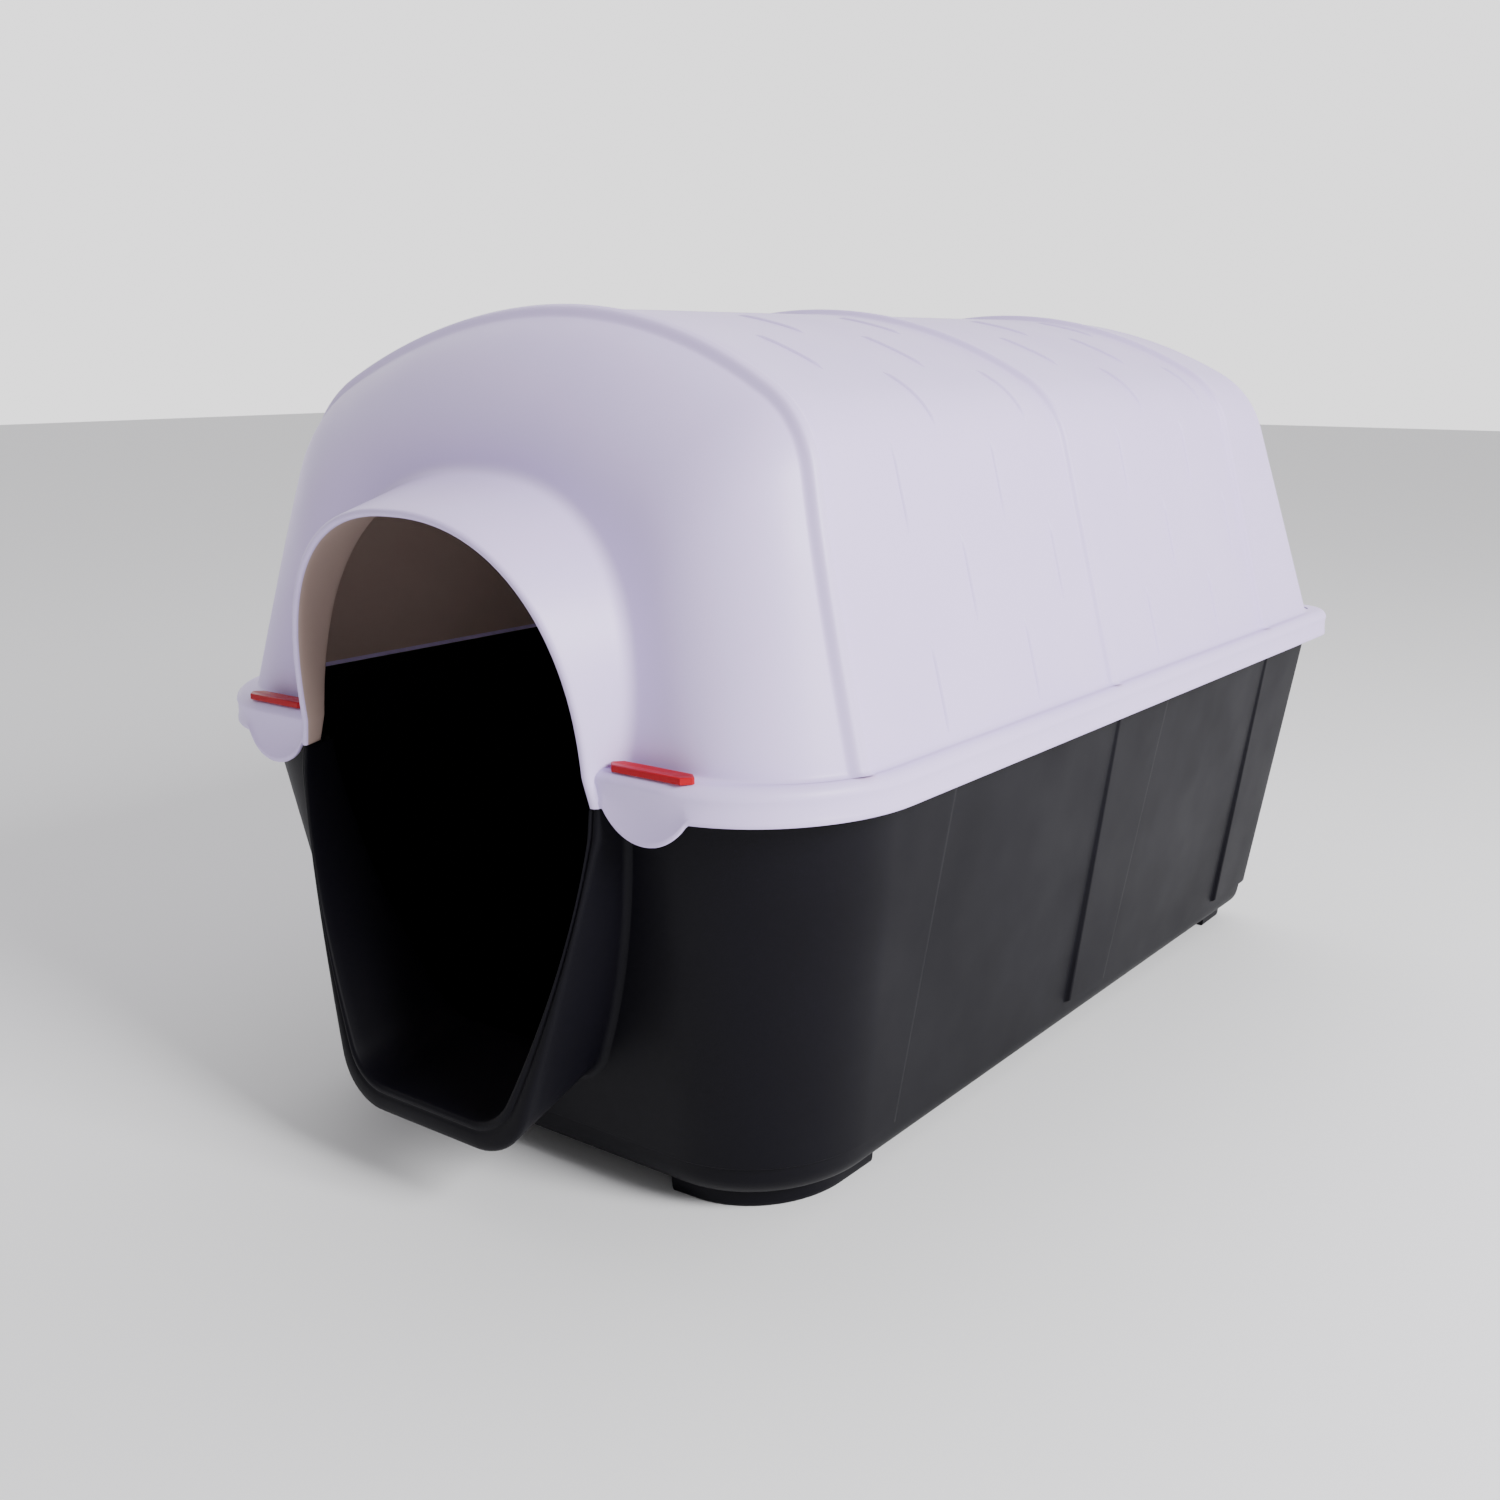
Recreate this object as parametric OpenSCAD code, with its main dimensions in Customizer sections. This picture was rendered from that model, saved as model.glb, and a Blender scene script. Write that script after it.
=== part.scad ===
// Two-shell moulded kennel: a domed roof with a door hood sits on an open tub,
// held down by four push-in clips. Millimetres, +Z up, door towards -Y.
// The origin is on the ground, under the middle of the whole outline.

/* [Overall size] */
// Width over the roof rim
rim_w = 600; // [540:5:660]
// Length of the roof rim, front to back
rim_len = 954; // [860:2:1040]
// How far the door hood stands out in front of the rim
hood_reach = 34; // [20:1:45]
// Thickness of the moulded walls
wall = 3.5; // [3:0.5:5]

/* [Heights above the ground] */
// Underside of the tub floor
tub_z = 15; // [12:1:20]
// Lower edge of the roof skirt
skirt_z = 311; // [300:1:320]
// Flat ledge on top of the rim
ledge_z = 336; // [332:1:344]
// Ridge of the roof between the ribs
ridge_z = 620; // [590:1:650]

/* [Roof] */
// Distance from the rim to the foot of the roof wall
ledge_w = 14; // [12:1:18]
// Slope of the roof sides, sideways over up
side_slope = 0.266; // [0.2:0.002:0.3]
// Radius of the shoulder between side and crown
shoulder_r = 78; // [50:1:110]
// Radius of the crown
crown_r = 412; // [380:1:470]
// How much the front end wall is smaller than the full section
front_k = 0.33; // [0.25:0.01:0.4]
// How much the rear end wall is smaller than the full section
rear_k = 0.16; // [0.1:0.01:0.25]
// Lean of the front wall, back over up
front_lean = 0.14; // [0.08:0.01:0.2]
// Height that the ribs stand proud
rib_h = 4.5; // [2:0.5:7]
// Width of a rib at its foot
rib_w = 20; // [14:1:26]

/* [Doorway] */
// Half width of the opening in the hood
door_hw = 138; // [120:1:145]
// Top of the opening at the hood's front edge
door_top_z = 492; // [470:1:510]
// Height where the straight sides turn into the arch
arch_z = 364; // [350:1:380]
// Thickness of the hood and of the tub's collar
hood_t = 5.5; // [4:0.5:8]
// Rise of the hood towards the roof wall, up over back
hood_rise = 0.234; // [0.1:0.002:0.3]
// Sill height inside the tub's collar
sill_z = 78; // [60:1:95]

/* [Clips] */
// Distance of the clips from the middle plane
clip_x = 181; // [176:1:184]
// Length of the clip's head
clip_len = 66; // [60:1:72]
// Width of the clip's head
clip_w = 13; // [11:0.5:13]
// Thickness of the clip's head
clip_t = 4.5; // [3:0.5:6]
// Length of the tongue under the head
tongue_len = 30; // [20:1:34]

/* [Hidden] */

roof_color = [0.90, 0.89, 0.93];
tub_color = [0.20, 0.20, 0.24];
clip_color = [0.80, 0.20, 0.28];

total_len = rim_len + hood_reach;
rim_front = -total_len / 2 + hood_reach;
rim_back = total_len / 2;
rim_hw = rim_w / 2;

// Corner outline of the rim: an ellipse in front, a round at the back
corner_a = 110;
corner_b = 125;
rear_r = 40;
front_steps = 6;
rear_steps = 3;

// Rim section
rim_round = 8;
lip_gap = 9;
lip_t = 3.5;
seat_z = ledge_z - wall;

// Roof section, measured on the outer face
wall_hw = rim_hw - ledge_w;
side_a = atan(side_slope);
side_steps = 2;
shoulder_steps = 4;
crown_steps = 4;

// Front and rear domes: where the full section starts, low down and at the ridge
front_full_y = rim_front + 114;
front_full_shift = 38;
front_wall_y = rim_front + 20;
rear_full_y = rim_back - 62;
rear_full_shift = -52;
rear_wall_y = rim_back - 22;
rear_lean = 0.15;
mid_rib_y = -16;
rear_rib_y = 315;

// Hood and collar: the front edge of each leans forward, away from the rim
hood_lean = hood_reach / (door_top_z + hood_t - skirt_z);
collar_lean = 0.108;
collar_y = rim_front - 3;
collar_in_r = 39;
collar_out_r = 46;
collar_band = 21;
// Clearance between the roof's hood and the collar that it stands over
hood_gap = 0.6;
collar_top_z = skirt_z - hood_gap;

// Tub: rise of each face from the floor to the seat
tub_h = seat_z - tub_z;
tub_hw_low = 235;
tub_front_low = rim_front + 74;
tub_back_low = rim_back - 26;
tub_front_top = rim_front + 17;
tub_back_top = rim_back - 14;
tub_corner_low = [90, 100];
tub_corner_top = [106, 116];
tub_rear_r = 32;
tub_hw_top = rim_hw - 14.5;
edge_round = 15;
pad_h = 3;
pad_z = 42;
pad_top = 8;

foot_inset = 16;
foot_w = 34;
foot_run = 40;
panel_y = [rim_front + 474, rim_front + 577];
panel_taper = 17;

tab_r = 38;
tab_x = 180;
tab_drop = 19;

tongue_w = 30;
tongue_t = 3;
slot_gap = 0.6;
front_clip_y = rim_front + 9.5;
rear_clip_y = rim_back - 10.5;
cut = 1;

// ---- general helpers ----

function arc(cx, cy, rx, ry, a0, a1, n) =
    [for (i = [0:n]) let (a = a0 + (a1 - a0) * i / n) [cx + rx * cos(a), cy + ry * sin(a)]];

function mix(a, b, t) = a + (b - a) * t;

// Quadratic curve from p to r, pulled towards q
function bow(p, q, r, n) =
    [for (i = [1:n]) let (t = i / n) (1 - t) * (1 - t) * p + 2 * t * (1 - t) * q + t * t * r];

function mirrored(half) =
    concat(half, [for (i = [len(half) - 1:-1:0]) if (half[i][0] > 0.001) [-half[i][0], half[i][1]]]);

function joined(rings) = [for (r = rings) for (p = r) p];

// Closed solid through rings of equal length, with flat ends
module loft(rings) {
    n = len(rings[0]);
    m = len(rings);
    first = [for (i = [n - 1:-1:0]) i];
    last = [for (i = [0:n - 1]) (m - 1) * n + i];
    polyhedron(joined(rings), concat([first, last], strips(n, m, m - 1)), convexity = 8);
}

// Triangles between ring j and the next one, the last ring leading on to the first
function strips(n, m, count) =
    [for (j = [0:count - 1]) for (i = [0:n - 1]) let (k = (i + 1) % n, a = j * n, b = (j + 1) % m * n)
        for (f = [[a + i, b + k, b + i], [a + i, a + k, b + k]]) f];

// Closed solid whose last ring joins the first again
module hoop(rings) {
    polyhedron(joined(rings), strips(len(rings[0]), len(rings), len(rings)), convexity = 8);
}

// ---- plan outlines ----

// Counter-clockwise outline with elliptical front corners and round rear ones
function plan(hw, y0, y1, a, b, r, inset) = concat(
    arc(hw - a, y0 + b, a - inset, b - inset, -90, 0, front_steps),
    arc(hw - r, y1 - r, r - inset, r - inset, 0, 90, rear_steps),
    arc(-hw + r, y1 - r, r - inset, r - inset, 90, 180, rear_steps),
    arc(-hw + a, y0 + b, a - inset, b - inset, 180, 270, front_steps));

function rim_plan(inset) =
    plan(rim_hw, rim_front, rim_back, corner_a, corner_b, rear_r, inset);

function tub_plan(z, inset) = let (t = (z - tub_z) / tub_h)
    plan(mix(tub_hw_low, tub_hw_top, t), mix(tub_front_low, tub_front_top, t),
         mix(tub_back_low, tub_back_top, t), mix(tub_corner_low[0], tub_corner_top[0], t),
         mix(tub_corner_low[1], tub_corner_top[1], t), tub_rear_r, inset);

function at_z(outline, z) = [for (p = outline) [p[0], p[1], z]];

// The same rings the other way round, for a stack that starts at the bottom
function turned(rings) = [for (r = rings) [for (i = [len(r) - 1:-1:0]) r[i]]];

// ---- roof section ----

// Centre of the shoulder: shoulder_r inside the side line and the crown
function crown_centre() = ridge_z - crown_r;
function shoulder_centre() = let (
    c = cos(side_a), s = sin(side_a), k = crown_r - shoulder_r,
    d = (wall_hw * c + (ledge_z - crown_centre()) * s) - shoulder_r,
    along = sqrt(k * k - d * d))
    [d * c - along * s, crown_centre() + d * s + along * c];

// Half section from the foot up to the ridge, on a face inset from the outer one
function half_section(inset, low_z) = let (
    sc = shoulder_centre(),
    r = shoulder_r - inset,
    turn = atan2(sc[1] - crown_centre(), sc[0]),
    foot_x = wall_hw - inset / cos(side_a) - (low_z - ledge_z) * side_slope,
    spring = [sc[0] + r * cos(side_a), sc[1] + r * sin(side_a)])
    concat(
        [for (i = [0:side_steps - 1]) mix([foot_x, low_z], spring, i / side_steps)],
        arc(sc[0], sc[1], r, r, side_a, turn, shoulder_steps),
        [for (i = [1:crown_steps]) let (a = mix(turn, 90, i / crown_steps))
            [(crown_r - inset) * cos(a), crown_centre() + (crown_r - inset) * sin(a)]]);

// One ring of the roof: s turns the section from full size (0) into an end wall (90)
function shrink(p, k, s) = let (f = 1 - k * (1 - cos(s)))
    [p[0] * f, p[1] < ledge_z ? p[1] : ledge_z + (p[1] - ledge_z) * f];

function height_share(z) = max(0, (z - ledge_z) / (ridge_z - ledge_z));

function front_ring(s, inset, low_z, skin) = [for (p = mirrored(half_section(inset, low_z))) let (
    q = shrink(p, front_k, s),
    full = front_full_y + front_full_shift * pow(height_share(p[1]), 3),
    end = front_wall_y + skin + front_lean * (q[1] - ledge_z))
    [q[0], mix(full, end, sin(s)), q[1]]];

function rear_ring(s, inset, low_z, skin) = [for (p = mirrored(half_section(inset, low_z))) let (
    q = shrink(p, rear_k, s),
    full = rear_full_y + rear_full_shift * height_share(p[1]),
    end = rear_wall_y - skin - rear_lean * (q[1] - ledge_z))
    [q[0], mix(full, end, sin(s)), q[1]]];

function cross_ring(y, inset, low_z) =
    [for (p = mirrored(half_section(inset, low_z))) [p[0], y, p[1]]];

// Rib across the roof: out, along and back in
function rib_rings(y, low_z) = [for (e = [[-1, 0], [-0.65, 1], [0.65, 1], [1, 0]])
    cross_ring(y + e[0] * rib_w / 2, -e[1] * rib_h, low_z)];

module dome(inset, low_z, skin, ribs) {
    front = ribs
        ? [for (e = [[90, 0], [68, 0], [48, 0], [32, 0], [21, 0], [18.5, 1], [12, 1], [9, 0]])
            front_ring(e[0], -e[1] * rib_h, low_z, skin)]
        : [for (s = [90, 60, 35, 10]) front_ring(s, inset, low_z, skin)];
    middle = ribs ? concat(rib_rings(mid_rib_y, low_z), rib_rings(rear_rib_y, low_z)) : [];
    rear = [for (s = [0, 22, 44, 66, 90]) rear_ring(s, inset, low_z, skin)];
    loft(concat(front, middle, rear));
}

// ---- hood, rim and tabs ----

function arch(hw, top_z, low_z) = let (n = 2.15, steps = 8) mirrored(concat(
    [[hw, low_z]],
    [for (i = [0:steps]) let (a = 90 * i / steps)
        [hw * pow(max(0, cos(a)), 2 / n), arch_z + (top_z - arch_z) * pow(sin(a), 2 / n)]]));

function hood_front(z) = rim_front - (z - skirt_z) * hood_lean;

// Ring of the hood: on the leaning front edge (reach 0) or a plane further back
function hood_ring(hw, top_z, low_z, back) = [for (p = arch(hw, top_z + hood_rise * back, low_z))
    [p[0], hood_front(p[1]) + back, p[1]]];

module hood(grow, front, back, low_z) {
    loft([hood_ring(door_hw + grow, door_top_z + grow, low_z, front),
          hood_ring(door_hw + grow, door_top_z + grow, low_z, back)]);
}

// Skirt and ledge in one, as a hoop of the rim's section
module rim() {
    hoop(turned([for (e = concat([[wall, skirt_z], [0, skirt_z]],
        [for (a = [0, 45, 90])
            [rim_round * (1 - cos(a)), ledge_z - rim_round * (1 - sin(a))]],
        [[ledge_w + wall + 2, ledge_z], [ledge_w + wall + 2, seat_z], [lip_gap - 0.5, seat_z],
         [wall, seat_z - lip_gap + wall]])) at_z(rim_plan(e[0]), e[1])]));
}

// Half-round tabs that hang from the skirt in front of, or behind, each clip
module tabs() {
    for (y = [rim_front + wall / 2, rim_back - wall / 2])
        for (side = [-1, 1])
            translate([side * tab_x, y, skirt_z - tab_drop + tab_r])
                rotate([90, 0, 0])
                    linear_extrude(height = wall - 0.6, center = true)
                        polygon(arc(0, 0, tab_r, tab_r, 190, 350, 16));
}

module clip_slots(gap, low_z, high_z) {
    for (y = [front_clip_y, rear_clip_y])
        for (side = [-1, 1])
            translate([side * clip_x, y, (low_z + high_z) / 2])
                cube([tongue_w + 2 * gap, tongue_t + 2 * gap, high_z - low_z], center = true);
}

module roof_shell() {
    color(roof_color)
        difference() {
            union() {
                dome(0, ledge_z - wall / 2, 0, true);
                rim();
                tabs();
                hood(hood_t, 0, 90, skirt_z);
            }
            dome(wall, skirt_z - tab_drop - 2 * cut, wall, false);
            hood(0, -60, 110, skirt_z - tab_drop - 2 * cut);
            clip_slots(slot_gap, seat_z - lip_gap, ledge_z + cut);
        }
}

// ---- tub ----

// U outline of the doorway in the tub, open at the top
function collar_half(low_z, r, cx, side_in, knee, top, top_z) = concat(
    [[cx, low_z]],
    [for (i = [1:6]) let (a = -90 + (90 - side_in) * i / 6)
        [cx + r * cos(a), low_z + r + r * sin(a)]],
    bow([cx + r * cos(side_in), low_z + r - r * sin(side_in)], knee, top, 6),
    [[top[0], top_z]]);

function collar_in(top_z) =
    collar_half(sill_z, collar_in_r, 43, 26, [129, 208], [door_hw + 0.5, 291], top_z);

function collar_out(top_z, grow) = collar_half(sill_z - collar_band - grow / 2, collar_out_r,
    49 + grow, 17, [125 + grow, 190], [door_hw + hood_t + 2.5 + grow, 291], top_z);

function collar_front(z) = collar_y - (skirt_z - z) * collar_lean;

// Whole ring: right half from the bottom up, then the left half down
function u_ring(half, back) = [for (p = concat(half, [for (i = [len(half) - 1:-1:0])
    [-half[i][0], half[i][1]]])) [p[0], collar_front(p[1]) + back, p[1]]];

module collar_block() {
    loft([u_ring(collar_out(collar_top_z, 0), 0), u_ring(collar_out(collar_top_z, 2), 20),
          u_ring(collar_out(collar_top_z, 14), 110)]);
}

module collar_opening() {
    loft([u_ring(collar_in(ledge_z), -60), u_ring(collar_in(ledge_z), 190)]);
}

// Gap in the tub's lip that the feet of the roof's hood drop into
module hood_notch() {
    half = door_hw + hood_t + hood_gap;
    translate([-half, collar_y - cut, collar_top_z])
        cube([2 * half, front_wall_y + 2 * wall - collar_y, seat_z - collar_top_z + cut]);
}

// The whole tub in one skin: up the outside, over the lip and down the inside
module tub_skin() {
    floor_z = tub_z + wall;
    loft(turned([
        at_z(tub_plan(tub_z, edge_round), tub_z),
        at_z(tub_plan(tub_z, edge_round / 4), tub_z + edge_round / 4),
        at_z(tub_plan(tub_z + edge_round, 0), tub_z + edge_round),
        at_z(tub_plan(seat_z - lip_t, 0), seat_z - lip_t),
        at_z(rim_plan(lip_gap), seat_z - lip_t),
        at_z(rim_plan(lip_gap), seat_z),
        at_z(tub_plan(seat_z, wall), seat_z),
        at_z(tub_plan(tub_z + edge_round, wall), tub_z + edge_round),
        at_z(tub_plan(tub_z, edge_round + wall), floor_z)]));
}

// Raised panel in the middle of each long side, tapering downwards
module side_panels() {
    slope = atan((tub_hw_top - tub_hw_low) / tub_h);
    for (side = [-1, 1])
        scale([side, 1, 1])
            translate([tub_hw_low, 0, tub_z])
                rotate([90, 0, 90])
                    rotate([slope, 0, 0])
                        translate([0, 0, -wall / 2])
                            linear_extrude(height = wall / 2 + pad_h)
                                polygon([[panel_y[0] + panel_taper, pad_z - tub_z],
                                         [panel_y[1] - panel_taper, pad_z - tub_z],
                                         [panel_y[1], tub_h - pad_top], [panel_y[0], tub_h - pad_top]]);
}

// Curved foot under each corner
module feet() {
    a = tub_corner_low[0];
    b = tub_corner_low[1];
    for (side = [-1, 1])
        scale([side, 1, 1]) {
            foot(tub_hw_low - a, tub_front_low + b, a - foot_inset, b - foot_inset, -1);
            foot(tub_hw_low - tub_rear_r, tub_back_low - tub_rear_r,
                 tub_rear_r - foot_inset, tub_rear_r - foot_inset, 1);
        }
}

// Round the corner, with a straight run of foot_run at both ends
module foot(cx, cy, rx, ry, way) {
    outer = arc(cx, cy, rx, way * ry, 0, 90, 6);
    reach_x = cx - (way < 0 ? foot_run / 2 : foot_run);
    reach_y = cy - way * foot_run;
    linear_extrude(height = tub_z + wall / 2)
        polygon(concat([[cx + rx - foot_w, reach_y], [cx + rx, reach_y]], outer,
            [[reach_x, cy + way * ry], [reach_x, cy + way * (ry - foot_w)]],
            way < 0 ? arc(cx, cy, rx - foot_w, way * (ry - foot_w), 90, 0, 6)
                : [[cx + rx - foot_w, cy + way * (ry - foot_w)]]));
}

module base_tub() {
    color(tub_color)
        union() {
            difference() {
                union() {
                    tub_skin();
                    difference() {
                        collar_block();
                        tub_core();
                    }
                }
                collar_opening();
                hood_notch();
                clip_slots(slot_gap, seat_z - lip_t - cut, seat_z + cut);
            }
            side_panels();
            feet();
        }
}

// Room inside the tub, to trim what reaches in from the collar
module tub_core() {
    loft(turned([at_z(tub_plan(tub_z, wall), tub_z), at_z(tub_plan(seat_z + cut, wall), seat_z + cut)]));
}

// ---- clips ----

// Flat bar with mitred ends and a tongue that passes through rim and lip
module clip() {
    mitre = clip_w * 0.42;
    hl = clip_len / 2;
    hw = clip_w / 2;
    color(clip_color)
        union() {
            linear_extrude(height = clip_t)
                polygon([[-hl, -hw + mitre], [-hl + mitre, -hw], [hl - mitre, -hw], [hl, -hw + mitre],
                         [hl, hw - mitre], [hl - mitre, hw], [-hl + mitre, hw], [-hl, hw - mitre]]);
            translate([0, 0, -tongue_len])
                rotate([90, 0, 0])
                    linear_extrude(height = tongue_t, center = true)
                        polygon([[-tongue_w / 2 + 5, 0], [tongue_w / 2 - 5, 0], [tongue_w / 2, 8],
                                 [tongue_w / 2, tongue_len + cut], [-tongue_w / 2, tongue_len + cut],
                                 [-tongue_w / 2, 8]]);
        }
}

module clip_at(side, y) {
    translate([side * clip_x, y, ledge_z])
        clip();
}

module clip_front_left() clip_at(-1, front_clip_y);
module clip_front_right() clip_at(1, front_clip_y);
module clip_rear_left() clip_at(-1, rear_clip_y);
module clip_rear_right() clip_at(1, rear_clip_y);

roof_shell();
base_tub();
clip_front_left();
clip_front_right();
clip_rear_left();
clip_rear_right();
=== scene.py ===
# %% [markdown]
# # A two-shell moulded kennel
# A domed roof with a door hood sits on an open tub, and four push-in clips hold them together.
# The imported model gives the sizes, the bodies and the joints. This script only gives the looks:
# every shell is rebuilt as a smooth, rounded moulding in the same place, with its own plastic.

import math

import bmesh
import bpy
import numpy as np
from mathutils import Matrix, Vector


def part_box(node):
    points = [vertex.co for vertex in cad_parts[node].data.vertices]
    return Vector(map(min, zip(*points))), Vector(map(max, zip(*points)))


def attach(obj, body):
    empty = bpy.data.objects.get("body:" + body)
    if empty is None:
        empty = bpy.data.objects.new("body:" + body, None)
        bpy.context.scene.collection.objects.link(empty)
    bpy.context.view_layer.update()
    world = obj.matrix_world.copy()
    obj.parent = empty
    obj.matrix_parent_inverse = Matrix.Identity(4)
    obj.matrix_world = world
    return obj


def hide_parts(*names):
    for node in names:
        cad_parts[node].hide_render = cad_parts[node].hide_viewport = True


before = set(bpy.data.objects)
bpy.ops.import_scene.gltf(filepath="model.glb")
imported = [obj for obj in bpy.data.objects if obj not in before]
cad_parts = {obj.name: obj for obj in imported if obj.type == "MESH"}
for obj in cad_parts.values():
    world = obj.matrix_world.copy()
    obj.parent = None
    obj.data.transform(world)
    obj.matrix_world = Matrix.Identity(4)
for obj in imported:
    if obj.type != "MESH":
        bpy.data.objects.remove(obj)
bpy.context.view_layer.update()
MM = 0.001
roof_low, roof_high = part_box("roof_shell")
tub_low, tub_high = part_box("base_tub")
print("roof box", [round(v, 4) for v in (*roof_low, *roof_high)])
print("tub box", [round(v, 4) for v in (*tub_low, *tub_high)])

# %% [markdown]
# ## The camera first
# A camera set early makes every test picture useful. This one looks down a little at the door end
# and one long side, from about a metre and a half away, which shows all three kinds of surface.

# %% Camera
VIEW_AZIMUTH = math.radians(36.89)
VIEW_HEIGHT = math.radians(13.81)
camera_data = bpy.data.cameras.new("view_camera")
camera_data.lens = 39.16
camera = bpy.data.objects.new("view_camera", camera_data)
camera.location = (0.814, -1.193, 0.592)
backwards = Vector((math.sin(VIEW_AZIMUTH) * math.cos(VIEW_HEIGHT),
                    -math.cos(VIEW_AZIMUTH) * math.cos(VIEW_HEIGHT),
                    math.sin(VIEW_HEIGHT)))
camera.rotation_mode = "QUATERNION"
camera.rotation_quaternion = (-backwards).to_track_quat("-Z", "Y")
bpy.context.scene.collection.objects.link(camera)
bpy.context.scene.camera = camera
print("camera at", [round(v, 3) for v in camera.location], "with a lens of", camera_data.lens, "mm")

# %% [markdown]
# ## From rows of points to a mesh
# A thermoplastic shell is one skin that turns over at its edges. Boxes and booleans leave hard
# corners on such a shape, so each shell here is a grid: rows of points, each row one outline of
# the moulding, joined by four-sided faces. Rounding an edge then only means adding rows.

# %% Helpers for grids of points
def mix(a, b, t):
    """The value a share t of the way from a to b."""
    return a + (b - a) * t


def mirrored(half):
    """Rows of right-hand points, from the outside to the middle, with their mirror images after."""
    left = half[:, ::-1] * np.array([-1.0, 1.0, 1.0])
    return np.concatenate([half, left[:, 1:]], axis=1)


def grid_faces(rows, columns, wrap_rows=False, wrap_columns=False):
    """Four-sided faces between neighbouring rows of points."""
    faces = []
    for j in range(rows if wrap_rows else rows - 1):
        for i in range(columns if wrap_columns else columns - 1):
            a, b = j * columns + i, j * columns + (i + 1) % columns
            c = (j + 1) % rows * columns
            faces.append((a, b, c + (i + 1) % columns, c + i))
    return faces


# %% From points to a smooth object
def make_piece(name, points, faces, sharp_degrees=40, merge_mm=0.02, face_materials=None):
    """A smooth-shaded object from points in millimetres, its doubled points merged.

    The optional list of face materials gives each face's material number; without it all faces take the
    first.
    """
    mesh = bpy.data.meshes.new(name)
    mesh.from_pydata((np.asarray(points, float).reshape(-1, 3) * MM).tolist(), [], faces)
    if face_materials:
        mesh.polygons.foreach_set("material_index", face_materials)
    shape = bmesh.new()
    shape.from_mesh(mesh)
    bmesh.ops.remove_doubles(shape, verts=shape.verts, dist=merge_mm * MM)
    bmesh.ops.recalc_face_normals(shape, faces=shape.faces)
    shape.to_mesh(mesh)
    shape.free()
    mesh.polygons.foreach_set("use_smooth", [True] * len(mesh.polygons))
    mesh.set_sharp_from_angle(angle=math.radians(sharp_degrees))
    piece = bpy.data.objects.new(name, mesh)
    bpy.context.scene.collection.objects.link(piece)
    print(name, len(mesh.vertices), "points,", len(mesh.polygons), "faces")
    return piece


# %% Cutting and joining
def apply_modifiers(piece):
    """Replaces the piece's mesh by what its modifiers make of it."""
    graph = bpy.context.evaluated_depsgraph_get()
    mesh = bpy.data.meshes.new_from_object(piece.evaluated_get(graph))
    piece.modifiers.clear()
    piece.data = mesh


def cut_with(piece, cutter):
    """Takes the cutter's shape out of the piece, then removes the cutter."""
    tool = piece.modifiers.new("cut", "BOOLEAN")
    tool.operation = "DIFFERENCE"
    tool.object = cutter
    tool.solver = "EXACT"
    apply_modifiers(piece)
    bpy.data.objects.remove(cutter)


def joined(name, pieces):
    """One object from several, so that a moulding made in stages is one part again."""
    shape = bmesh.new()
    for piece in pieces:
        shape.from_mesh(piece.data)
        bpy.data.objects.remove(piece)
    mesh = bpy.data.meshes.new(name)
    shape.to_mesh(mesh)
    shape.free()
    result = bpy.data.objects.new(name, mesh)
    bpy.context.scene.collection.objects.link(result)
    return result


# %% [markdown]
# ## The roof's cross-section
# Looked at from the door, the roof is a leaning side, a tight shoulder and a wide, nearly flat
# crown. Line and arcs meet without a kink, so the section is described by its radii, and points
# are spread along its length. They stand closer at the foot, where the wall flares onto the rim.

# %% Roof section, in millimetres
RIM_HW = round(roof_high.x / MM)
RIM_BACK = round(roof_high.y / MM)
HOOD_OVERHANG = 34
RIM_FRONT = round(roof_low.y / MM) + HOOD_OVERHANG
LEDGE_Z = 336.0
SKIRT_Z = 311.0
RIDGE_Z = 620.0
WALL = 3.5
WALL_HW = RIM_HW - 14
SIDE_LEAN = math.atan(0.266)  # run over rise of the leaning side
SHOULDER_R = 78.0
CROWN_R = 412.0
FOOT_SINK = 0.8


def roof_section():
    """Dense half section from the foot to the ridge, as x and z."""
    c, s = math.cos(SIDE_LEAN), math.sin(SIDE_LEAN)
    crown_z = RIDGE_Z - CROWN_R
    inner = CROWN_R - SHOULDER_R
    d = WALL_HW * c + (LEDGE_Z - crown_z) * s - SHOULDER_R
    along = math.sqrt(inner * inner - d * d)
    centre = (d * c - along * s, crown_z + d * s + along * c)
    turn = math.atan2(centre[1] - crown_z, centre[0])
    spring = (centre[0] + SHOULDER_R * c, centre[1] + SHOULDER_R * s)
    side = [(mix(WALL_HW, spring[0], t), mix(LEDGE_Z - FOOT_SINK, spring[1], t))
            for t in np.linspace(0, 1, 200)]
    shoulder = [(centre[0] + SHOULDER_R * math.cos(a), centre[1] + SHOULDER_R * math.sin(a))
                for a in np.linspace(SIDE_LEAN, turn, 200)[1:]]
    crown = [(CROWN_R * math.cos(a), crown_z + CROWN_R * math.sin(a))
             for a in np.linspace(turn, math.pi / 2, 400)[1:]]
    return np.array(side + shoulder + crown)


def run_along(line):
    """Distance run at each point of a line."""
    steps = np.linalg.norm(np.diff(line, axis=0), axis=1)
    return np.concatenate([[0.0], np.cumsum(steps)])


def spread(line, shares):
    """Points at the given shares of a line's length."""
    run = run_along(line)
    return np.stack([np.interp(shares * run[-1], run, line[:, k]) for k in range(line.shape[1])], 1)


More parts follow.
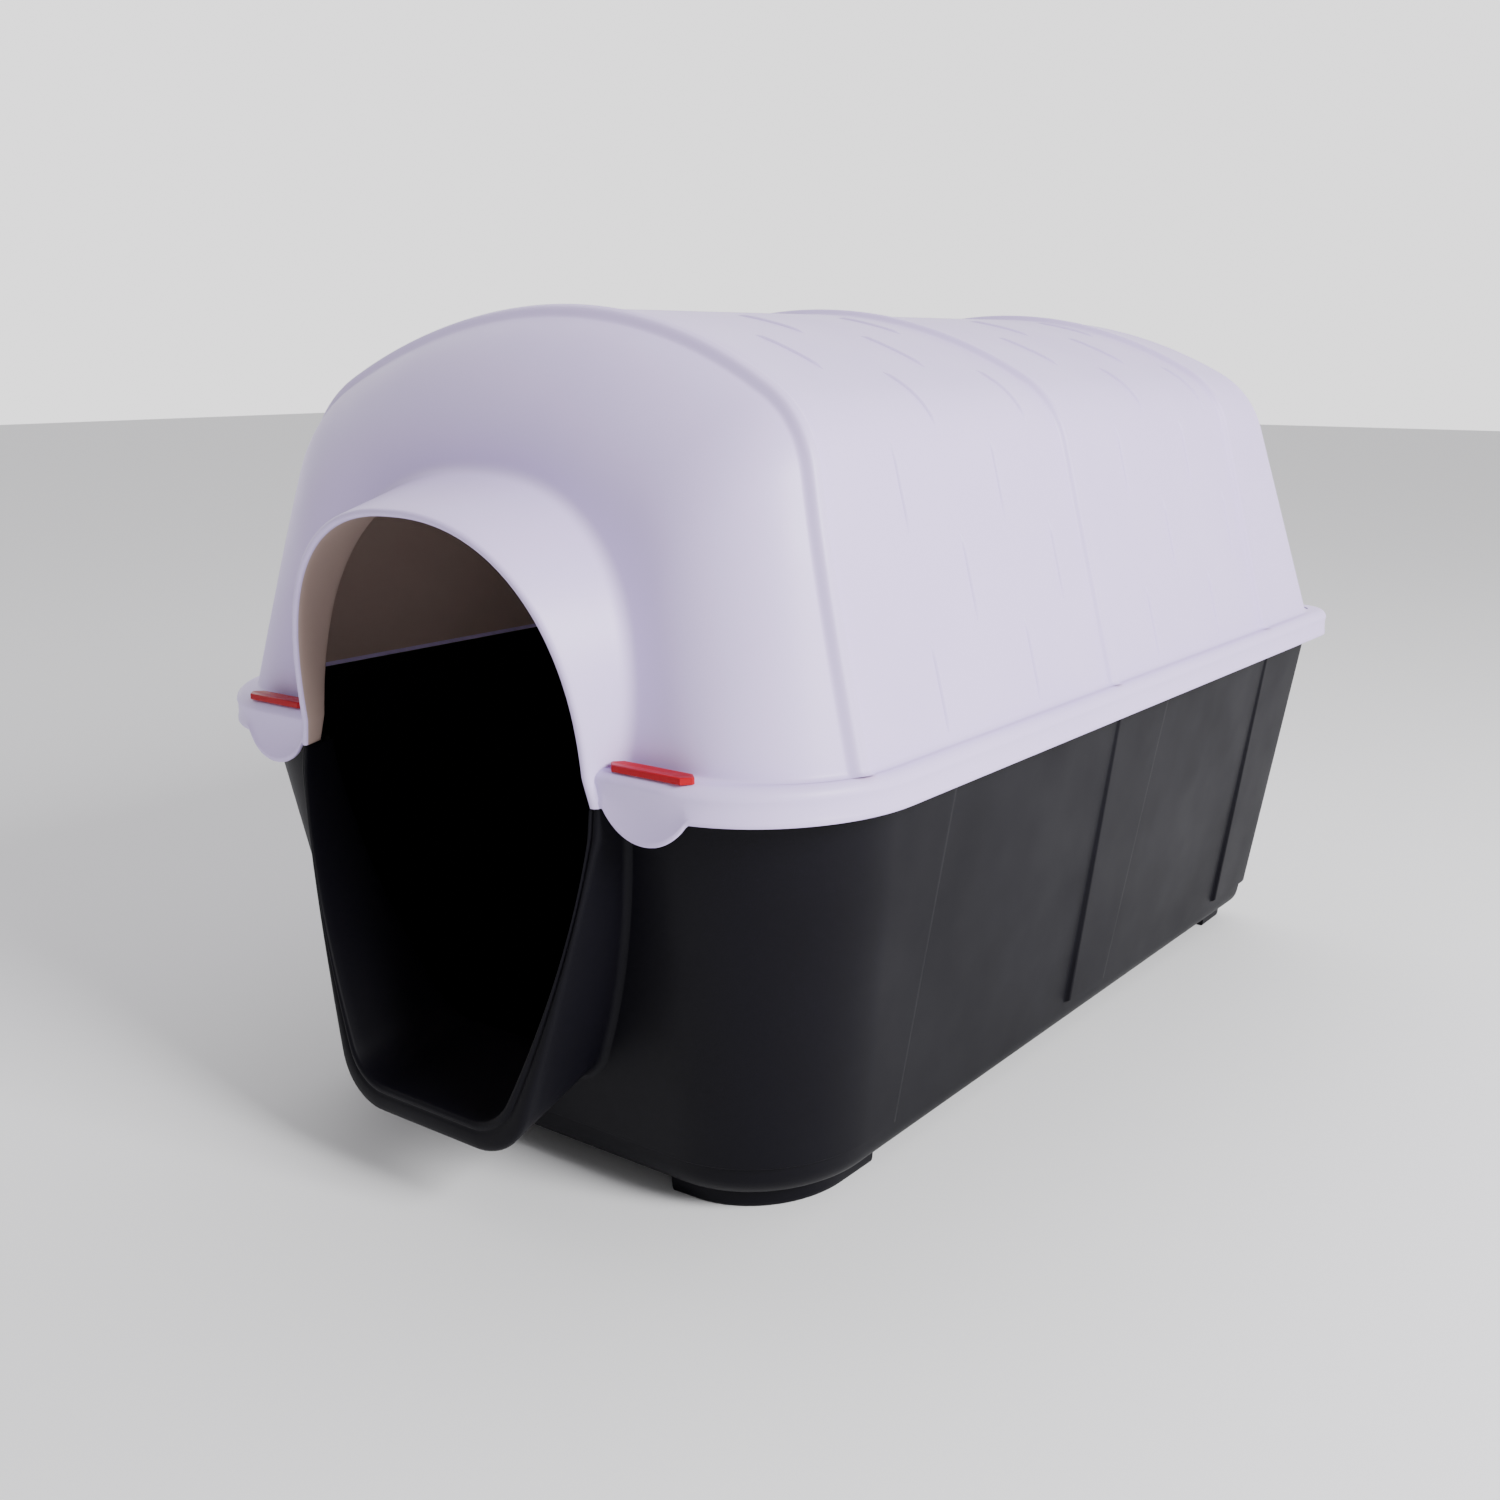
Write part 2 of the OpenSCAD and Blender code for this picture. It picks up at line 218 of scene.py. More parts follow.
# %% Points along the section
section_line = roof_section()
SECTION_RUN = run_along(section_line)[-1]
foot_steps = np.array([0, 0.5, 1.1, 1.9, 3.0, 4.4, 6.5])
EVEN_STEPS = 93
even_steps = np.linspace(foot_steps[-1], SECTION_RUN, EVEN_STEPS)[1:]
shares = np.concatenate([foot_steps, even_steps]) / SECTION_RUN
section = spread(section_line, shares)
climb = (section[:, 1] - LEDGE_Z) / (RIDGE_Z - LEDGE_Z)
climb = np.clip(climb, 0, 1)
print("half section", round(SECTION_RUN, 1), "mm,", len(section), "points")

# %% [markdown]
# ## Door hood
# The hood is an arch that reaches out over the doorway and widens towards the roof. A superellipse
# gives its outline: fuller than an ellipse at the shoulders, with short jambs below that splay a
# little. The same outline, grown by the wall thickness, makes the inner face, the rolled lip and
# the outer face.

# %% Hood outline
DOOR_HW = 133.9
DOOR_TOP = 486.8
ARCH_Z = 330.0
JAMB_FLARE = 4.6
HOOD_SPREAD = 0.36
HOOD_T = 5.5
HOOD_RISE = 0.234
HOOD_FOOT, HOOD_REACH = 3.0, 33.8
HOOD_CURVE = 0.36
ARCH_POWER = 2.354
ROUNDNESS = 2 / ARCH_POWER

# %% Where the points stand along the outline
bow_angles = np.linspace(0, math.pi / 2, 600)
bow_line = np.stack([DOOR_HW * np.cos(bow_angles) ** ROUNDNESS,
                     (DOOR_TOP - ARCH_Z) * np.sin(bow_angles) ** ROUNDNESS], 1)
bow_run = run_along(bow_line)
jamb = ARCH_Z - SKIRT_Z
reach = shares * (jamb + bow_run[-1])
jamb_share = np.clip(reach / jamb, 0, 1)
bow_angle = np.interp(np.clip(reach - jamb, 0, None), bow_run, bow_angles)
print("doorway", 2 * DOOR_HW, "mm wide,", round(DOOR_TOP - SKIRT_Z, 1), "mm high above the skirt")


# %% One row of the hood
def hood_front(z):
    """Front edge: nearly upright at the skirt, curving forward towards the top."""
    h = (z - SKIRT_Z) / (DOOR_TOP + HOOD_T - SKIRT_Z)
    return RIM_FRONT - mix(HOOD_FOOT, HOOD_REACH, (1 - HOOD_CURVE) * h + HOOD_CURVE * h * h)


def hood_row(grow, back):
    """Half outline of the hood, grown outwards, some way back from its front edge."""
    x = (DOOR_HW + grow + HOOD_SPREAD * back) * np.cos(bow_angle) ** ROUNDNESS
    x = x + JAMB_FLARE * (1 - jamb_share)
    rise = (DOOR_TOP + grow + HOOD_RISE * back - ARCH_Z) * np.sin(bow_angle) ** ROUNDNESS
    z = np.where(jamb_share < 1, mix(SKIRT_Z, ARCH_Z, jamb_share), ARCH_Z + rise)
    return np.stack([x, hood_front(z) + back, z], 1)


# %% [markdown]
# ## Roof rows, from the hood to the back
# The rows run backwards: hood, hollow corner, front wall, front dome, the long barrel, rear dome,
# rear wall. A dome is the full section shrunk a little while it moves forward on a sine, which is
# how a draughtsman would blend a barrel into a flat end. Rows crowd together where ribs stand.

# %% End walls, and where each dome reaches the full section
FRONT_K = 0.33
REAR_K = 0.16
FRONT_LEAN = 0.14
REAR_LEAN = 0.15
FRONT_SETBACK = 20
REAR_SETBACK = 22
FRONT_DOME, FRONT_DOME_CROWN = 114, 38
REAR_DOME, REAR_DOME_CROWN = 62, 52
front_full = RIM_FRONT + FRONT_DOME + FRONT_DOME_CROWN * climb ** 3
rear_full = RIM_BACK - REAR_DOME - REAR_DOME_CROWN * climb


def front_wall_y(z):
    return RIM_FRONT + FRONT_SETBACK + FRONT_LEAN * (z - LEDGE_Z)


def rear_wall_y(z):
    return RIM_BACK - REAR_SETBACK - REAR_LEAN * (z - LEDGE_Z)


# %% Rows of the domes and the barrel
def shrunk(share):
    """The section made smaller about the middle of its foot."""
    return section[:, 0] * share, LEDGE_Z + (section[:, 1] - LEDGE_Z) * np.where(climb > 0, share, 1)


def dome_row(degrees, k, full, end_y):
    """A row of a dome, at 0 degrees the full section and at 90 degrees the edge of the end wall."""
    a = math.radians(degrees)
    x, z = shrunk(1 - k * (1 - math.cos(a)))
    return np.stack([x, mix(full, end_y(z), math.sin(a)), z], 1)


def barrel_row(y):
    """The full section at y, which may differ from point to point."""
    return np.stack([section[:, 0], np.broadcast_to(y, len(section)), section[:, 1]], 1)


# %% Where the hood meets the front wall
depth = np.full(len(shares), 40.0)
for _ in range(12):
    root = hood_row(HOOD_T, depth)
    depth = front_wall_y(root[:, 2]) - hood_front(root[:, 2])
root = hood_row(HOOD_T, depth)
SIDE_HOLLOW, TOP_HOLLOW = 14.0, 8.0
HOLLOW_SHARE = 0.42
arch_climb = np.clip((root[:, 2] - ARCH_Z) / (DOOR_TOP - ARCH_Z), 0, 1)
corner = np.minimum(HOLLOW_SHARE * depth, mix(SIDE_HOLLOW, TOP_HOLLOW, arch_climb))
print("the hood is", round(depth.min(), 1), "to", round(depth.max(), 1), "mm deep")

# %% Rows of the hood, its hollow corner and the wall
HOOD_ROWS = 8
CORNER_ROWS = 7
LIP_R = HOOD_T / 2
hood_shares = np.linspace(0, 1, HOOD_ROWS)
corner_shares = np.linspace(0, 1, CORNER_ROWS + 1)[1:]


def hollow(start, middle, end, t):
    """A hollow corner: a curve from start to end that is drawn towards the middle point."""
    return (1 - t) ** 2 * start + 2 * t * (1 - t) * middle + t * t * end


wall_edge = dome_row(90, FRONT_K, front_full, front_wall_y)
gap = np.linalg.norm(wall_edge - root, axis=1)
on_wall = root + (wall_edge - root) * (np.minimum(corner, 0.7 * gap) / gap)[:, None]

outer = [hood_row(HOOD_T, mix(LIP_R, depth - corner, t)) for t in hood_shares]
outer += [hollow(outer[-1], root, on_wall, t) for t in corner_shares]
outer += [mix(on_wall, wall_edge, t) for t in (0.2, 0.4, 0.6, 0.8, 1.0)]
hood_count = HOOD_ROWS + CORNER_ROWS

# %% Front dome, with rows crowded where the front rib stands
# Turns of the dome at which the rib starts, reaches its top, leaves it and ends
FRONT_RIB = (22.0, 16.5, 14.0, 9.5)
front_turns = np.concatenate([np.arange(86, 24, -4), np.arange(23, 7, -0.75), [6, 4, 2, 0]])
outer += [dome_row(s, FRONT_K, front_full, front_wall_y) for s in front_turns]
ribs = {len(outer) - len(front_turns) + n: s for n, s in enumerate(front_turns)}

# %% Barrel and rear, with rows crowded at the other two ribs
BARREL_START = -290.0
BARREL_END = 372.0
BARREL_ROWS = 34
RIB_REACH, RIB_STEP = 15, 1.25
outer += [barrel_row(mix(front_full, BARREL_START, t)) for t in (0.25, 0.5, 0.75)]
RIB_YS = (-16.0, 315.0)
barrel_ys = set(np.linspace(BARREL_START, BARREL_END, BARREL_ROWS).round(2))
for rib_y in RIB_YS:
    barrel_ys = {y for y in barrel_ys if abs(y - rib_y) > RIB_REACH + 2}
    barrel_ys |= set((rib_y + np.arange(-RIB_REACH, RIB_REACH + 0.1, RIB_STEP)).round(2))
barrel_first = len(outer)
barrel_ys = sorted(barrel_ys)
outer += [barrel_row(y) for y in barrel_ys]
outer += [barrel_row(mix(BARREL_END, rear_full, t)) for t in (0.3, 0.65)]
outer += [dome_row(s, REAR_K, rear_full, rear_wall_y) for s in range(0, 91, 5)]
for share in (0.9, 0.75, 0.55, 0.35, 0.15, 0.0):
    x, z = shrunk((1 - REAR_K) * share)
    outer.append(np.stack([x, rear_wall_y(z), z], 1))
outer = np.array(outer)
print("roof rows", outer.shape)

# %% [markdown]
# ## Ribs, flare and inner face
# Three ribs cross the roof. They are moulded into the skin, so they are made by moving rows out
# along the surface normal: a smooth rise, a narrow top and a smooth fall. The inner face is the
# same grid moved inwards by the wall thickness, so it follows the ribs.

# %% Offsets along the normals
RIB_H = 4.45
FRONT_RIB_H = 5.5


def ramp(value, start, end):
    """Smooth step from 0 at start to 1 at end."""
    t = np.clip((value - start) / (end - start), 0, 1)
    return t * t * (3 - 2 * t)


def normals_of(grid):
    """Outward normals of a grid that arches over the floor."""
    along = np.gradient(grid, axis=0)
    around = np.gradient(grid, axis=1)
    n = np.cross(around, along)
    n /= np.maximum(np.linalg.norm(n, axis=2, keepdims=True), 1e-9)
    top = n[len(n) // 2, n.shape[1] // 2]
    return n if top[2] > 0 else -n


# %% How far each row stands out
RIB_FOOT, RIB_TOP = 8, 3
outer_full = mirrored(outer)
normals = normals_of(outer_full)
lift = np.zeros(len(outer_full))
for row, s in ribs.items():
    rise, fall = ramp(s, FRONT_RIB[0], FRONT_RIB[1]), ramp(s, FRONT_RIB[3], FRONT_RIB[2])
    lift[row] = FRONT_RIB_H * rise * fall
for n, y in enumerate(barrel_ys):
    for rib_y in RIB_YS:
        rise = ramp(y, rib_y - RIB_FOOT, rib_y - RIB_TOP)
        fall = ramp(y, rib_y + RIB_FOOT, rib_y + RIB_TOP)
        lift[barrel_first + n] += RIB_H * rise * fall

# %% Flare onto the rim, inner face and lip
FLARE_R = 4.0
climbed = np.clip(shares * SECTION_RUN, 0, FLARE_R)
flare_half = FLARE_R - np.sqrt(FLARE_R ** 2 - (FLARE_R - climbed) ** 2)
flare = np.concatenate([flare_half, flare_half[::-1][1:]])
flare_rows = np.clip((np.arange(len(outer_full)) - hood_count + 3) / 3, 0, 1)
moved = outer_full + normals * (lift[:, None] + flare[None, :] * flare_rows[:, None])[:, :, None]
print("ribs stand", RIB_H, "and", FRONT_RIB_H, "mm high, the flare has a radius of", FLARE_R, "mm")

inner_full = outer_full + normals * (lift - WALL)[:, None, None]
inner_hood = [hood_row(0, mix(LIP_R, depth - 2, t)) for t in hood_shares]
inner_root = hood_row(0, depth + WALL)
inner_wall = inner_full[hood_count, :len(shares)]
inner_hood += [hollow(inner_hood[-1], inner_root, inner_wall, t) for t in corner_shares]
inner_full[:hood_count] = mirrored(np.array(inner_hood))

lip = [hood_row(LIP_R + LIP_R * math.sin(a), LIP_R + LIP_R * math.cos(a))
       for a in np.radians(np.arange(120, 270, 30))]
lip_full = mirrored(np.array(lip))

# %% The roof's skin as one closed moulding
rows = np.concatenate([moved[::-1], lip_full, inner_full])
count, width = rows.shape[:2]
faces = grid_faces(count, width)
for edge in (0, width - 1):
    for k in range(count // 2):
        a, b = k * width + edge, (k + 1) * width + edge
        c, d = (count - 2 - k) * width + edge, (count - 1 - k) * width + edge
        faces.append((a, b, c, d) if edge else (d, c, b, a))
# The inner skin's faces take material 1: the roof's white painted duller and warmer as painted shade.
inner_start = (len(moved) + len(lip_full)) * (width - 1)
face_materials = [1 if k >= inner_start else 0 for k in range(len(faces))]
roof_skin = make_piece("roof_skin", rows, faces, face_materials=face_materials)

# %% [markdown]
# ## Rim of the roof
# The rim is a ledge with a skirt that hides the joint. Its section is an upside-down L with a
# rounded top and a thin bead along the lower edge, swept round the plan outline from one door
# jamb to the other. The half-round tabs below the clips are part of the skirt, so the lower
# rows of the sweep simply hang lower there.

# %% Plan outlines
CORNER_A, CORNER_B = 110.0, 125.0
REAR_R = 40.0
JAMB_CLEAR = 0.6
TAB_X, TAB_R, TAB_DROP = 180.0, 38.0, 19.0


def corner_arc(cx, cy, rx, ry, start, end, steps):
    """Points on an arc between two angles in degrees."""
    a = np.radians(np.linspace(start, end, steps + 1))
    return np.stack([cx + rx * np.cos(a), cy + ry * np.sin(a)], 1)


def rim_outline(inset):
    """Right half of the rim in plan, from the door jamb round to the middle of the back."""
    start = DOOR_HW + JAMB_FLARE + HOOD_SPREAD * (HOOD_FOOT + inset) + JAMB_CLEAR
    front_x = np.linspace(start, RIM_HW - CORNER_A, 36)[:-1]
    front = np.stack([front_x, np.full(len(front_x), RIM_FRONT + inset)], 1)
    turn = corner_arc(RIM_HW - CORNER_A, RIM_FRONT + CORNER_B,
                      CORNER_A - inset, CORNER_B - inset, -90, 0, 64)
    side_y = np.linspace(RIM_FRONT + CORNER_B, RIM_BACK - REAR_R, 30)[1:-1]
    side = np.stack([np.full(len(side_y), RIM_HW - inset), side_y], 1)
    back = corner_arc(RIM_HW - REAR_R, RIM_BACK - REAR_R,
                      REAR_R - inset, REAR_R - inset, 0, 90, 14)
    rear_x = np.concatenate([[245, 230], np.arange(219, 140, -1.5), np.linspace(125, 0, 8)])
    rear = np.stack([rear_x, np.full(len(rear_x), RIM_BACK - inset)], 1)
    return np.concatenate([front, turn, side, back, rear])


def skirt_edge(outline):
    """Lower edge of the skirt: level, but following a tab's circle near each clip."""
    across = np.abs(outline[:, 0] - TAB_X)
    at_end = (outline[:, 1] < RIM_FRONT + 30) | (outline[:, 1] > RIM_BACK - 20)
    circle = SKIRT_Z - TAB_DROP + TAB_R - np.sqrt(np.clip(TAB_R ** 2 - across ** 2, 0, None))
    return np.where(at_end, np.minimum(SKIRT_Z, circle), SKIRT_Z)


# %% Sweep of the rim
# Points of its section: inset, height, and 1 if the height counts from the skirt's lower edge
ROUND = 8.0
RIM_INSET = 18.0
edge_turns = np.radians(np.linspace(0, 90, 8))
rim_section = [(RIM_INSET, LEDGE_Z, 0)]
rim_section += [(ROUND - ROUND * math.sin(a), LEDGE_Z - ROUND + ROUND * math.cos(a), 0)
                for a in edge_turns]
rim_section += [(0.7, LEDGE_Z - ROUND - 1.5, 0), (0.7, 5.2, 1), (0.15, 4.2, 1), (0.0, 3.2, 1),
                (0.1, 1.2, 1), (0.8, 0.2, 1), (1.6, 0.0, 1), (WALL, 0.3, 1), (WALL, 6.0, 1),
                (WALL, LEDGE_Z - 9.5, 0), (8.5, LEDGE_Z - WALL, 0),
                (RIM_INSET, LEDGE_Z - WALL, 0)]
low_edge = skirt_edge(rim_outline(0))
rim_rows = []
for inset, height, from_edge in rim_section:
    plan = rim_outline(inset)
    z = low_edge + height if from_edge else np.full(len(plan), height)
    rim_rows.append(np.concatenate([plan, z[:, None]], 1))
rim_rows = mirrored(np.array(rim_rows))
count, width = rim_rows.shape[:2]
faces = grid_faces(count, width, wrap_rows=True)
faces.append([k * width for k in range(count)])
faces.append([k * width + width - 1 for k in reversed(range(count))])
roof_rim = make_piece("roof_rim", rim_rows, faces)

# %% [markdown]
# ## Slots for the clips
# Each clip's tongue passes through the ledge. Four small boxes cut the slots, once in the rim
# and once in the lip of the tub below, so that a pulled clip leaves a real hole behind.

# %% Slot cutters
def box_piece(name, boxes):
    """One object of several boxes, each given by its low and high corner in millimetres."""
    points, faces = [], []
    for low, high in boxes:
        n = len(points)
        points += [((high if k & 1 else low)[0],
                    (high if k & 2 else low)[1],
                    (high if k & 4 else low)[2]) for k in range(8)]
        faces += [[n + k for k in face] for face in
                  ((0, 2, 3, 1), (4, 5, 7, 6), (0, 1, 5, 4), (2, 6, 7, 3), (0, 4, 6, 2), (1, 3, 7, 5))]
    return make_piece(name, points, faces)


# %% Slots in the rim
CLIP_X = 181.0
CLIP_YS = (RIM_FRONT + 9.5, RIM_BACK - 10.5)
TONGUE_W, TONGUE_T, SLOT_GAP = 30.0, 3.0, 0.6


def slot_boxes(low_z, high_z):
    """Low and high corners of the four slots, between two heights."""
    half_w, half_t = TONGUE_W / 2 + SLOT_GAP, TONGUE_T / 2 + SLOT_GAP
    return [((side * CLIP_X - half_w, y - half_t, low_z),
             (side * CLIP_X + half_w, y + half_t, high_z))
            for y in CLIP_YS for side in (-1, 1)]


cut_with(roof_rim, box_piece("rim_slots", slot_boxes(LEDGE_Z - 12, LEDGE_Z + 2)))

# %% [markdown]
# ## Block joints on the roof
# Fine raised lines suggest courses of blocks in the two bays between the ribs. Their place
# follows a rule: courses of equal height, joints in step, every other course shifted by half.
# Each line is a low ribbon laid on the curved skin, thin at its ends, sunk a hair at its edges.

# %% A ribbon on the skin
COURSE_H = 67.0
FIRST_COURSE = 8.0
JOINT_PITCH = 132.0
LINE_W, LINE_H, LINE_SINK = 3.4, 1.7, 0.12
tangent = np.gradient(section_line, axis=0)
tangent /= np.linalg.norm(tangent, axis=1, keepdims=True)
dense_run = run_along(section_line)


def on_roof(y, run, height):
    """Points on the barrel at y and at a run up from its foot, lifted off along the normal."""
    x, z = (np.interp(run, dense_run, section_line[:, k]) for k in range(2))
    nx, nz = np.interp(run, dense_run, tangent[:, 1]), -np.interp(run, dense_run, tangent[:, 0])
    return np.stack([x + nx * height, np.broadcast_to(y, x.shape), z + nz * height], -1)


def ribbon(across, along, points, faces, side):
    """Adds one line, with its range across over y and its range along up the skin."""
    steps = max(6, int((along[1] - along[0]) / 6))
    t = np.linspace(0, 1, steps)[:, None]
    v = np.linspace(-1, 1, 7)[None, :]
    ends = np.minimum(1, np.minimum(t, 1 - t) * 9)
    height = LINE_H * ends * (1 - v ** 2) ** 1.5 - LINE_SINK
    a = np.broadcast_to(mix(along[0], along[1], t), height.shape)
    b = np.broadcast_to(mix(across[0], across[1], (v + 1) / 2), height.shape)
    grid = on_roof(b, a, height) * np.array([side, 1, 1])
    first = len(points)
    points += grid.reshape(-1, 3).tolist()
    faces += [[first + k for k in f] for f in grid_faces(*height.shape)]


# %% Raised joint lines in both bays
COURSES = 6
COURSE_GAP = 4
BAY_MARGINS = (25, 5)
points, faces = [], []
for bay, centre in (((-300, -34), -133.0), ((3, 298), 213.0)):
    for course in range(COURSES):
        start = FIRST_COURSE + COURSE_H * course
        shift = JOINT_PITCH / 2 if course % 2 else 0
        for k in (-1, 0, 1):
            y = centre + k * JOINT_PITCH - shift
            if not bay[0] + BAY_MARGINS[0] < y < bay[1] - BAY_MARGINS[1]:
                continue
            for side in (-1, 1):
                ribbon((y - LINE_W / 2, y + LINE_W / 2), (start, start + COURSE_H - COURSE_GAP),
                       points, faces, side)
roof_lines = make_piece("roof_lines", points, faces)
roof = joined("roof_moulding", [roof_skin, roof_rim, roof_lines])

# %% [markdown]
# ## Tub walls
# The tub tapers towards the floor so that it leaves its mould and stacks with others. Its plan
# outline is blended from a floor outline to a top outline, one row per height. Broad pads stand
# proud of the walls at the corners and at mid-length, and end in a step above the floor.

# %% Tub outline
TUB_Z = 15.0
SEAT_Z = LEDGE_Z - WALL
TUB_HW = (235.0, RIM_HW - 14.5)
TUB_FRONT = (RIM_FRONT + 74.0, RIM_FRONT + 17.0)
TUB_BACK = (RIM_BACK - 26.0, RIM_BACK - 14.0)
TUB_CORNER = ((90.0, 100.0), (106.0, 116.0))
TUB_REAR_R = 32.0
FLOOR_ROUND = 15.0
PAD_STEP_Z = 42.0
PAD_STEP = 1.2
PAD_TOP, PAD_FOOT = 1.0, 4.0
# Edge of a pad: distance past its end, and level from full to none
PAD_EDGE = ((-4.5, 1.0), (-2, 1.0), (-1, 0.85), (0.4, 0.15), (1.4, 0.0), (4, 0.0))
# Ends of the two plain bays along the side, each at the top and at the floor; pads fill the rest
bay_ends = [((-245, -253), (14, 30)), ((117, 99), (349, 362))]


def side_columns():
    """(y at the top, y at the floor, pad level) for the straight part of one side."""
    columns = [(-300, -275, 1.0), (-272, -264, 1.0)]
    for start, end in bay_ends:
        columns += [(start[0] + d, start[1] + d, level) for d, level in PAD_EDGE]
        columns += [(mix(start[0], end[0], t), mix(start[1], end[1], t), 0.0)
                    for t in np.linspace(0.06, 0.94, 12)]
        columns += [(end[0] - d, end[1] - d, level) for d, level in PAD_EDGE[::-1]]
        if end is bay_ends[0][1]:
            after = bay_ends[1][0]
            columns += [(mix(end[0], after[0], t), mix(end[1], after[1], t), 1.0)
                        for t in (0.2, 0.4, 0.6, 0.8)]
    return columns + [(380, 385, 1.0), (415, 412, 1.0)]


# %% One row of the tub
def tub_outline(z, inset=0.0, hw=None, front=None, back=None, corner_size=None, rear_r=TUB_REAR_R):
    """Right half of the tub in plan, front middle to rear middle: x, y, outward normal, level."""
    t = (z - TUB_Z) / (SEAT_Z - TUB_Z)
    hw = mix(*TUB_HW, t) if hw is None else hw
    front = mix(*TUB_FRONT, t) if front is None else front
    back = mix(*TUB_BACK, t) if back is None else back
    a, b = corner_size or [mix(TUB_CORNER[0][k], TUB_CORNER[1][k], t) for k in range(2)]
    x = np.linspace(0, hw - a, 26)[:-1]
    parts = [np.stack([x, np.full(len(x), front + inset)], 1)]
    parts.append(corner_arc(hw - a, front + b, a - inset, b - inset, -90, 0, 30))
    columns = np.array(side_columns())
    parts.append(np.stack([np.full(len(columns), hw - inset), mix(columns[:, 1], columns[:, 0], t)], 1))
    parts.append(corner_arc(hw - rear_r, back - rear_r, rear_r - inset, rear_r - inset, 0, 90, 12))
    x = np.linspace(hw - rear_r, 0, 18)[1:]
    parts.append(np.stack([x, np.full(len(x), back - inset)], 1))
    outline = np.concatenate(parts)
    level = np.ones(len(outline))
    first = len(parts[0]) + len(parts[1])
    level[first:first + len(columns)] = columns[:, 2]
    slope = np.gradient(outline, axis=0)
    normal = np.stack([slope[:, 1], -slope[:, 0]], 1)
    normal /= np.linalg.norm(normal, axis=1, keepdims=True)
    normal[0], normal[-1] = (0, -1), (0, 1)
    return outline, normal, level


def tub_row(z, inset=0.0, padded=True, **shape):
    """Half a row of the tub, with the pads standing proud unless it is a plain one."""
    outline, normal, level = tub_outline(z, inset, **shape)
    if padded:
        proud = mix(PAD_FOOT, PAD_TOP, (z - TUB_Z) / (SEAT_Z - TUB_Z))
        proud *= ramp(z, PAD_STEP_Z - PAD_STEP, PAD_STEP_Z + PAD_STEP)
        outline = outline + normal * (level * proud - 1.0)[:, None]
    return np.concatenate([outline, np.full((len(outline), 1), z)], 1)


# %% Tub skin: up the outside, over the lip, down the inside
turns = np.radians(np.linspace(0, 90, 7))
heights = [33, 37, 39.5, 40.8, 41.6, 42.4, 43.2, 45, 50, 60]
heights += list(np.linspace(80, 320, 13)) + [SEAT_Z - 6]
tub_rows = [tub_row(TUB_Z + FLOOR_ROUND - FLOOR_ROUND * math.cos(a),
                    FLOOR_ROUND - FLOOR_ROUND * math.sin(a)) for a in turns]
tub_rows += [tub_row(z) for z in heights]
rim_shape = {"hw": RIM_HW, "front": RIM_FRONT, "back": RIM_BACK,
             "corner_size": (CORNER_A, CORNER_B), "rear_r": REAR_R}
# The lip under the roof's ledge: height below the seat, and inset from the roof's rim
tub_rows += [tub_row(SEAT_Z - drop, inset, False, **rim_shape)
             for drop, inset in ((3.5, 10.0), (3.0, 9.0), (0.6, 9.0), (0, 9.6))]
tub_rows += [tub_row(SEAT_Z, WALL - 0.6, False), tub_row(SEAT_Z - 1, WALL, False)]
tub_rows += [tub_row(z, WALL, False) for z in np.linspace(SEAT_Z - 20, TUB_Z + FLOOR_ROUND, 14)]
tub_rows += [tub_row(TUB_Z + WALL + (FLOOR_ROUND - WALL) * (1 - math.cos(a)),
                     WALL + FLOOR_ROUND * (1 - math.sin(a)), False) for a in turns[::-1][1:]]

# %% Tub skin as one mesh
half = np.array(tub_rows)
left = half[:, ::-1][:, 1:-1] * np.array([-1.0, 1.0, 1.0])
tub_grid = np.concatenate([half, left], axis=1)
count, width = tub_grid.shape[:2]
faces = grid_faces(count, width, wrap_columns=True)
faces.append([k for k in reversed(range(width))])
faces.append([(count - 1) * width + k for k in range(width)])
tub_skin = make_piece("tub_skin", tub_grid, faces, sharp_degrees=32)

# %% [markdown]
# ## Doorway of the tub
# A U-shaped collar stands forward of the front wall and the dog steps over its sill. It could be
# an extruded plate, but the real one is drafted: it widens towards the wall, turns into it with
# a hollow corner, and carries a bead round the edge that the hand and the paw meet.

# %% Outlines of the collar
COLLAR_LEAN = 0.108
COLLAR_Y = RIM_FRONT - 3.0
SKIRT_GAP = 0.6
COLLAR_TOP = SKIRT_Z - SKIRT_GAP
collar_shares = np.linspace(0, 1, 72)


def collar_half(low_z, flat, r, lean_degrees, knee, top, top_z=COLLAR_TOP):
    """Half a U from its middle at the bottom: a flat, a round corner, a bowed side, a straight top."""
    lean = math.radians(lean_degrees)
    a = np.linspace(-math.pi / 2, -lean, 40)
    corner_points = np.stack([flat + r * np.cos(a), low_z + r + r * np.sin(a)], 1)
    t = np.linspace(0, 1, 60)[1:, None]
    start, middle, end = corner_points[-1], np.array(knee, float), np.array(top, float)
    side = hollow(start, middle, end, t)
    line = np.concatenate([[[0, low_z]], corner_points, side, [[top[0], top_z]]])
    return spread(line, collar_shares)


# Height of the sill, half its flat, radius, lean of the side, then its knee and its top as x and z
lip_inside = collar_half(78, 43, 39, 26, (129, 208), (138.5, 291))
lip_outside = collar_half(57, 49, 46, 17, (125, 190), (146, 291))
wall_inside = collar_half(100, 44, 44, 26, (134, 206), (143, 291))
wall_outside = collar_half(84, 50, 50, 18, (133, 196), (147, 291))


def collar_front(z):
    return COLLAR_Y - (SKIRT_Z - z) * COLLAR_LEAN


def front_wall_at(z):
    """Where the outside of the tub's front wall stands at a height."""
    t = (z - TUB_Z) / (SEAT_Z - TUB_Z)
    return mix(*TUB_FRONT, t) + 1.0 - mix(PAD_FOOT, PAD_TOP, t)


